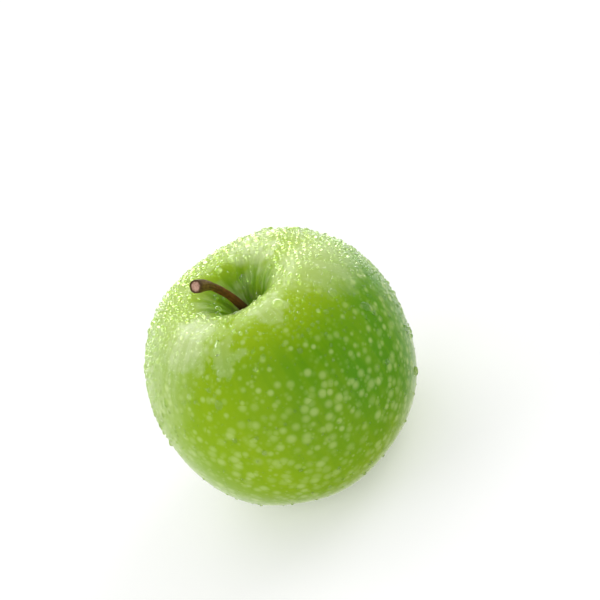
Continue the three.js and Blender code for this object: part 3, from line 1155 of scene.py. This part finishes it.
def make_world():
    """A white studio. Gloss sees it white behind the apple alone, so that the front keeps its colour."""
    world = bpy.data.worlds.new("studio")
    bpy.context.scene.world = world
    world.cycles.sampling_method = "NONE"  # so that gloss sees only what is meant for it
    world.use_nodes = True
    tree = world.node_tree
    direction = add_node(tree, "TexCoord").outputs["Generated"]
    facing = dot(tree, direction, Vector((-0.15, 0.95, -0.05)).normalized())
    in_gloss = ramp(tree, facing, 0.1, 0.75, 0.04, 1.3)
    otherwise = ramp(tree, facing, -0.9, 0.3, 0.3, 1.0)
    rays = add_node(tree, "LightPath").outputs
    gloss = calculate(tree, "SUBTRACT", rays["Is Glossy Ray"], rays["Is Transmission Ray"], clamp=True)
    strength = add_node(tree, "Mix", {0: gloss, 2: otherwise, 3: in_gloss}).outputs[0]
    background = tree.nodes["Background"]
    background.inputs["Color"].default_value = (1, 1, 1, 1)
    tree.links.new(strength, background.inputs["Strength"])


def make_floor():
    """A white table that glows a little, so that it stays white under a soft shadow."""
    select_none()
    bpy.ops.mesh.primitive_plane_add(size=8, location=(0, 0, 0))
    floor = started("floor")
    bpy.ops.mesh.subdivide(number_cuts=7)
    bpy.ops.object.mode_set(mode="OBJECT")
    material, _, _ = new_material("light_table", {
        "Base Color": (0.62, 0.62, 0.62, 1.0),
        "Roughness": 0.9,
        "Specular IOR Level": 0.1,
        "Emission Color": (1.0, 1.0, 1.0, 1.0),
        "Emission Strength": 0.36,
    })
    floor.data.materials.append(material)
    floor.visible_glossy = False


def make_camera(stage):
    """The camera looks at a point beside the apple, and leans."""
    data = bpy.data.cameras.new("camera")
    data.lens = stage.lens
    camera = bpy.data.objects.new("camera", data)
    bpy.context.scene.collection.objects.link(camera)
    bpy.context.scene.camera = camera
    middle = Vector((0, 0, FRUIT_HIGH.z / 2))
    e = stage.elevation
    back = Vector((0, -math.cos(e), math.sin(e)))
    camera.location = middle + back * stage.distance
    level = (-back).to_track_quat("-Z", "Y")
    lean = Matrix.Rotation(-stage.roll, 4, "Z").to_quaternion()
    beside = Vector((-math.tan(stage.aim_right), -math.tan(stage.aim_up), -1)).normalized()
    aim = beside.rotation_difference(Vector((0, 0, -1)))
    camera.rotation_mode = "QUATERNION"
    camera.rotation_quaternion = level @ lean @ aim
    data.clip_start = 0.01


class APPLE_OT_stage(Operator):
    """Set up the floor, the lights and the camera"""

    bl_idname = "apple.stage"
    bl_label = "Stage"

    def execute(self, context):
        scene = context.scene
        scene.view_settings.view_transform = "Standard"
        make_world()
        make_floor()
        make_camera(scene.apple_stage)
        make_lamps()
        return {"FINISHED"}


# ---------------------------------------------------------------- the add-on
STEPS = (
    APPLE_OT_fruit,
    APPLE_OT_stem,
    APPLE_OT_sepals,
    APPLE_OT_filaments,
    APPLE_OT_drops,
    APPLE_OT_stage,
)

GROUPS = {
    "apple_fruit": AppleFruit,
    "apple_skin": AppleSkin,
    "apple_stem": AppleStem,
    "apple_calyx": AppleCalyx,
    "apple_drops": AppleDrops,
    "apple_stage": AppleStage,
}


class APPLE_PT_panel(Panel):
    """Lists the steps, and the sizes and colours that they use"""

    bl_label = "Green Apple"
    bl_idname = "APPLE_PT_panel"
    bl_space_type = "VIEW_3D"
    bl_region_type = "UI"
    bl_category = "Apple"

    def draw(self, context):
        for step in STEPS:
            self.layout.operator(step.bl_idname)
        for name in GROUPS:
            box = self.layout.box()
            group = getattr(context.scene, name)
            for key in group.__annotations__:
                box.prop(group, key)


CLASSES = (*GROUPS.values(), *STEPS, APPLE_PT_panel)


def register():
    for cls in CLASSES:
        bpy.utils.register_class(cls)
    for name, group in GROUPS.items():
        setattr(bpy.types.Scene, name, PointerProperty(type=group))


def unregister():
    for name in GROUPS:
        delattr(bpy.types.Scene, name)
    for cls in reversed(CLASSES):
        bpy.utils.unregister_class(cls)


def main():
    register()
    for make_group in (spots_group, streaks_group, mottle_group, fibres_group):
        make_group()
    bpy.ops.apple.fruit()
    bpy.ops.apple.stem()
    bpy.ops.apple.sepals()
    bpy.ops.apple.filaments()
    bpy.ops.apple.drops()
    bpy.ops.apple.stage()


if __name__ == "__main__":
    main()
